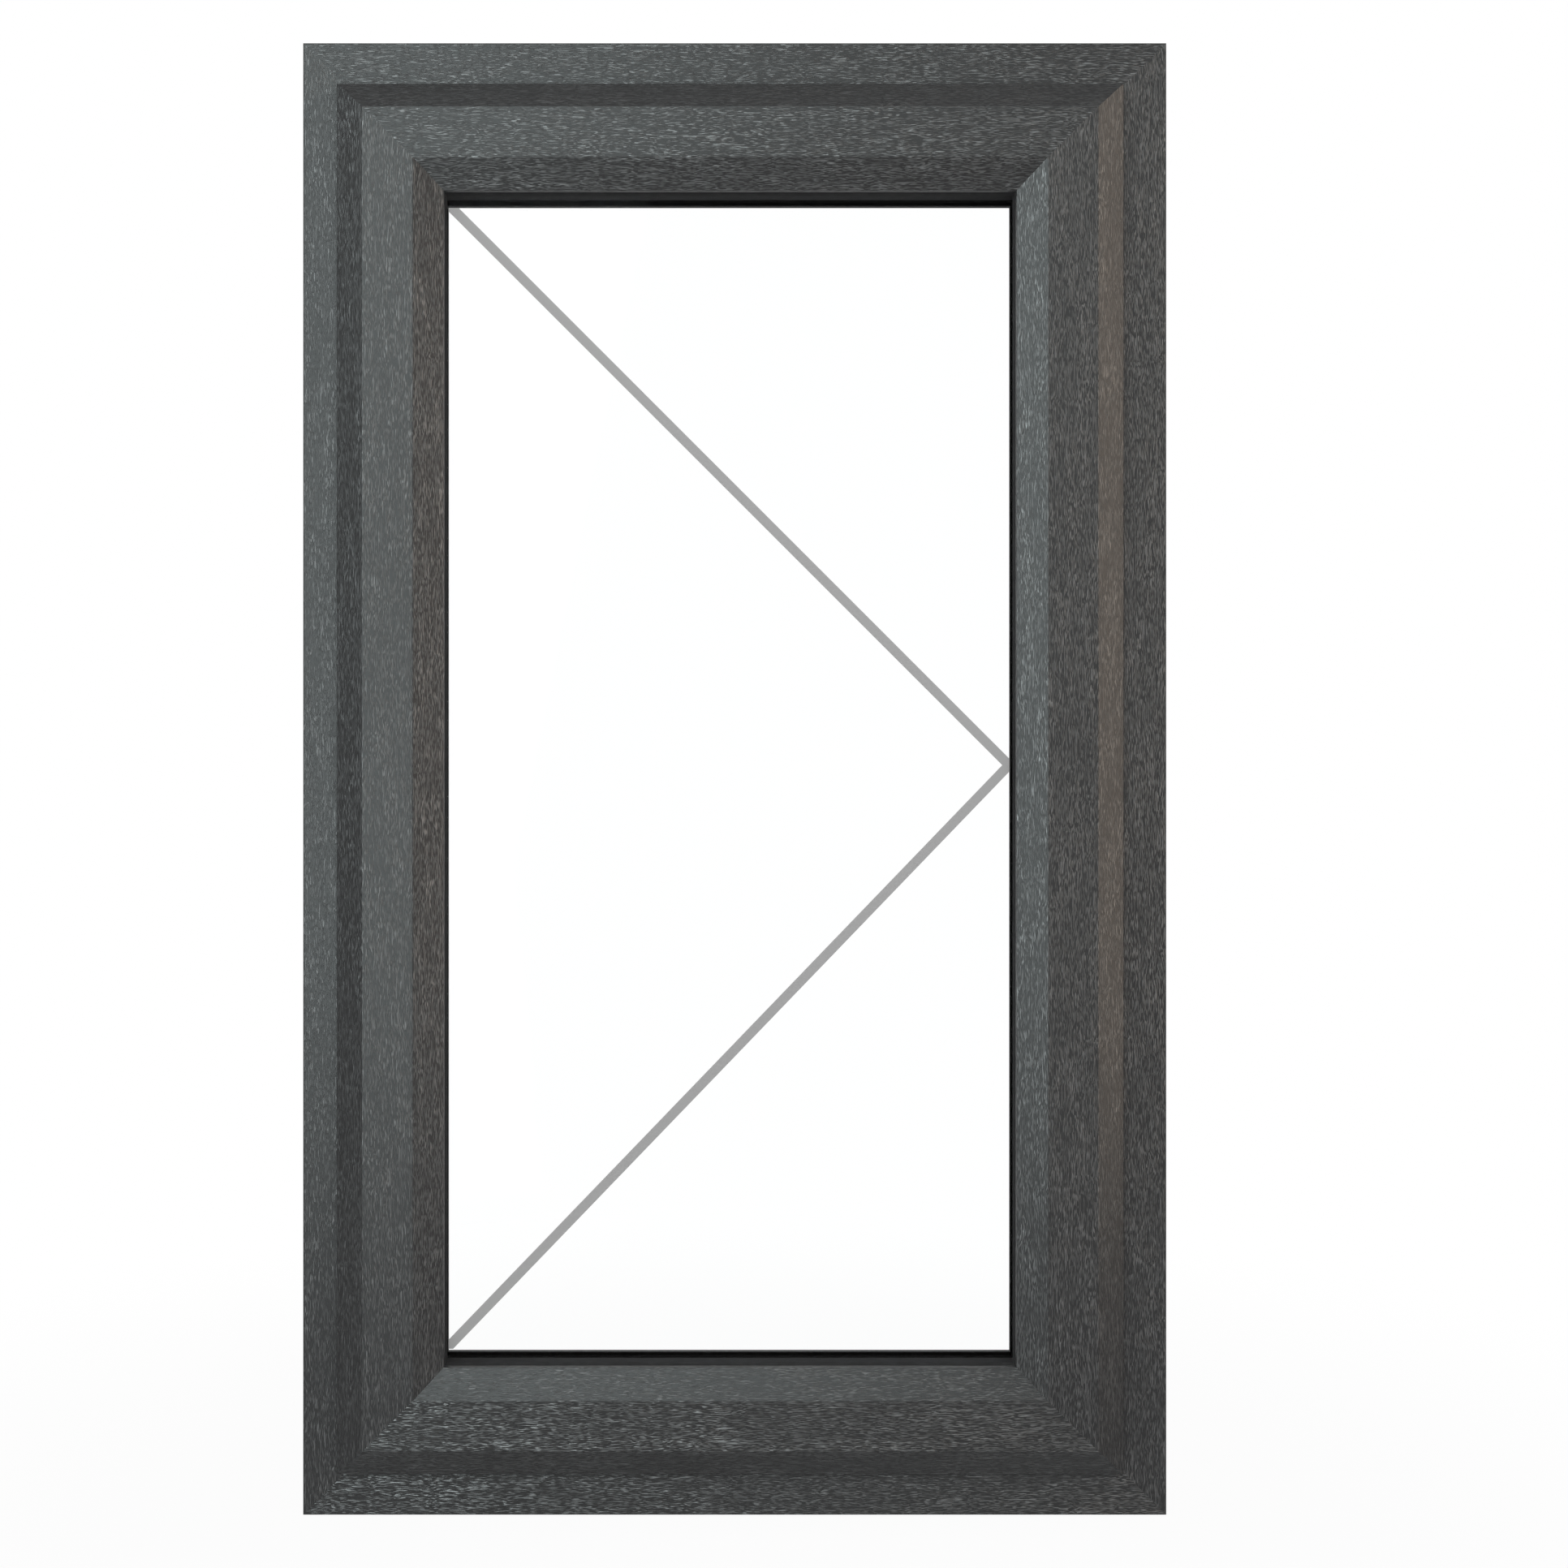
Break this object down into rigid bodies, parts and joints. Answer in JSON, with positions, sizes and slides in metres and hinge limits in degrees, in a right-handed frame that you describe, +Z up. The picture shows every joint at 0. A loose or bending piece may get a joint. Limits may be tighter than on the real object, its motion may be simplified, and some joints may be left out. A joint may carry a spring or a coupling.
{
  "type": "casement window",
  "caption": "Side-hung outward-opening casement window in anthracite woodgrain plastic with clear double glazing and a room-side lever handle.",
  "frame": {"origin": "middle of the underside of the outer frame, halfway through its depth", "axes": "+X to the right as seen from outside, +Y into the room, +Z up"},
  "size_m": [0.61, 0.1078, 1.04],
  "materials": {
    "bead_foil": "anthracite grey foil embossed with a wood grain",
    "clear_glass": "clear float glass",
    "edge_sealant": "dark grey edge sealant",
    "frame_foil": "anthracite grey foil embossed with a wood grain",
    "handle_coating": "satin anthracite powder coat on cast zinc",
    "lock_steel": "satin nickel-plated steel",
    "mark_film": "plain mid-grey film",
    "packer_plastic": "dark moulded packer",
    "sash_foil": "anthracite grey foil embossed with a wood grain",
    "seal_rubber": "matt black gasket rubber",
    "spacer_plastic": "black warm-edge spacer",
    "stay_steel": "brushed stainless steel"
  },
  "bodies": {
    "root": {"frame_head": "frame_foil", "frame_left_jamb": "frame_foil", "frame_right_jamb": "frame_foil", "frame_sill": "frame_foil", "friction_stay_bottom": "stay_steel", "friction_stay_top": "stay_steel", "glass_edge_seal": "edge_sealant", "glass_inner_pane": "clear_glass", "glass_outer_pane": "clear_glass", "glass_spacer_bar": "spacer_plastic", "glazing_bead_bottom": "bead_foil", "glazing_bead_left": "bead_foil", "glazing_bead_right": "bead_foil", "glazing_bead_top": "bead_foil", "glazing_gasket_inner": "seal_rubber", "glazing_gasket_outer": "seal_rubber", "handle_base": "handle_coating", "handle_lever": "handle_coating", "handle_lock_cylinder": "lock_steel", "handle_screw_caps": "handle_coating", "opening_mark_film": "mark_film", "sash_bottom_rail": "sash_foil", "sash_left_stile": "sash_foil", "sash_right_stile": "sash_foil", "sash_top_rail": "sash_foil", "setting_blocks": "packer_plastic", "weather_seal_inner": "seal_rubber", "weather_seal_outer": "seal_rubber"}
  },
  "joints": []
}
